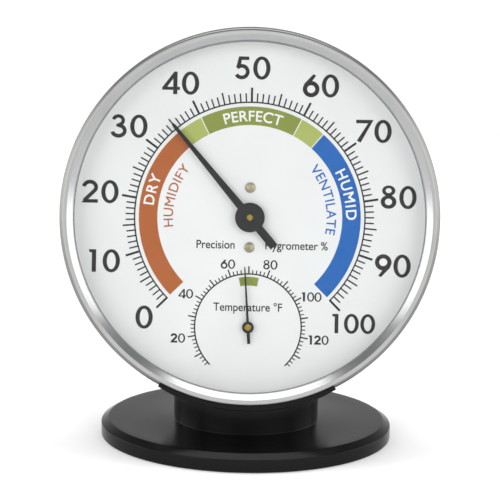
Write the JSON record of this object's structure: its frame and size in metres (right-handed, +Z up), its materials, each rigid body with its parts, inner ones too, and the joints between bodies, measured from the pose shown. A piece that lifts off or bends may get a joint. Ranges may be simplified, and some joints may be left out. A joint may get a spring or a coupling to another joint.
{
  "type": "dial hygrometer",
  "caption": "Round dial hygrometer with a small thermometer on its face, satin metal bezel, black case, leaning back in an oval weighted desk stand.",
  "frame": {"origin": "middle of the stand's underside, on the table", "axes": "+Z up, the dial faces -Y and leans back 13 degrees, +X to the reader's right"},
  "size_m": [0.131, 0.084, 0.1479],
  "materials": {
    "black_plastic": "black moulded plastic, satin to gloss",
    "case_plastic": "black moulded plastic, fine matt texture",
    "white_plastic": "off-white moulded plastic",
    "pad_rubber": "black non-slip rubber",
    "gasket_rubber": "grey rubber ring",
    "satin_metal": "turned and finely brushed, clear lacquer",
    "plated_steel": "zinc-plated steel",
    "spring_steel": "polished spring steel",
    "bimetal": "rolled two-metal strip",
    "brass": "turned brass",
    "nickel_brass": "pale nickel-plated brass",
    "clear_window": "clear flat window",
    "dial_print": "white-lacquered metal with printed scales",
    "pointer_black": "satin black",
    "synthetic_hair": "bundle of fine synthetic fibre"
  },
  "bodies": {
    "stand": {"stand": "black_plastic", "ballast_plate": "plated_steel", "ballast_screws": "plated_steel", "foot_pad": "pad_rubber"},
    "case": {"bezel_ring": "satin_metal", "grub_screws": "plated_steel", "window_gasket": "gasket_rubber", "window": "clear_window", "spacer_ring": "white_plastic", "dial_plate": "dial_print", "rear_case": "case_plastic", "humidity_bush": "brass", "dial_screws": "nickel_brass", "pillars": "brass", "movement_frame": "brass", "sector_stud": "spring_steel", "sector_clip": "spring_steel", "hairspring": "spring_steel", "hair_bundle": "synthetic_hair", "hair_crimp": "brass", "friction_washer": "spring_steel", "thermometer_bracket": "plated_steel", "thermometer_bush": "brass", "bimetal_coil": "bimetal"},
    "humidity_hand": {"humidity_pointer": "pointer_black", "humidity_arbor": "brass", "pinion": "brass"},
    "sector": {"toothed_sector": "brass"},
    "temperature_hand": {"thermometer_pointer": "pointer_black", "thermometer_arbor": "brass"},
    "calibration": {"calibration_post": "plated_steel"}
  },
  "joints": [
    {"name": "case_lift", "type": "slide", "parent": "stand", "child": "case", "axis": [0, 0.225, 0.9744], "range_m": [0, 0.08]},
    {"name": "humidity_reading", "type": "hinge", "parent": "case", "child": "humidity_hand", "pos_m": [0, -0.0189, 0.0845], "axis": [0, 0.9744, -0.225], "range_deg": [-94.5, 175.5]},
    {"name": "sector_swing", "type": "hinge", "parent": "case", "child": "sector", "pos_m": [0.027, -0.0189, 0.0845], "axis": [0, 0.9744, -0.225], "range_deg": [-22, 11.9]},
    {"name": "temperature_reading", "type": "hinge", "parent": "case", "child": "temperature_hand", "pos_m": [0, -0.02748, 0.04733], "axis": [0, 0.9744, -0.225], "range_deg": [-131.5, 139.5]},
    {"name": "calibration_turn", "type": "hinge", "parent": "case", "child": "calibration", "pos_m": [0.03345, -0.02835, 0.04358], "axis": [0, -0.9744, 0.225], "range_deg": [-45, 45]}
  ],
  "couplings": [
    {"joint": "sector_swing", "follows": "humidity_reading", "ratio": -0.125}
  ]
}
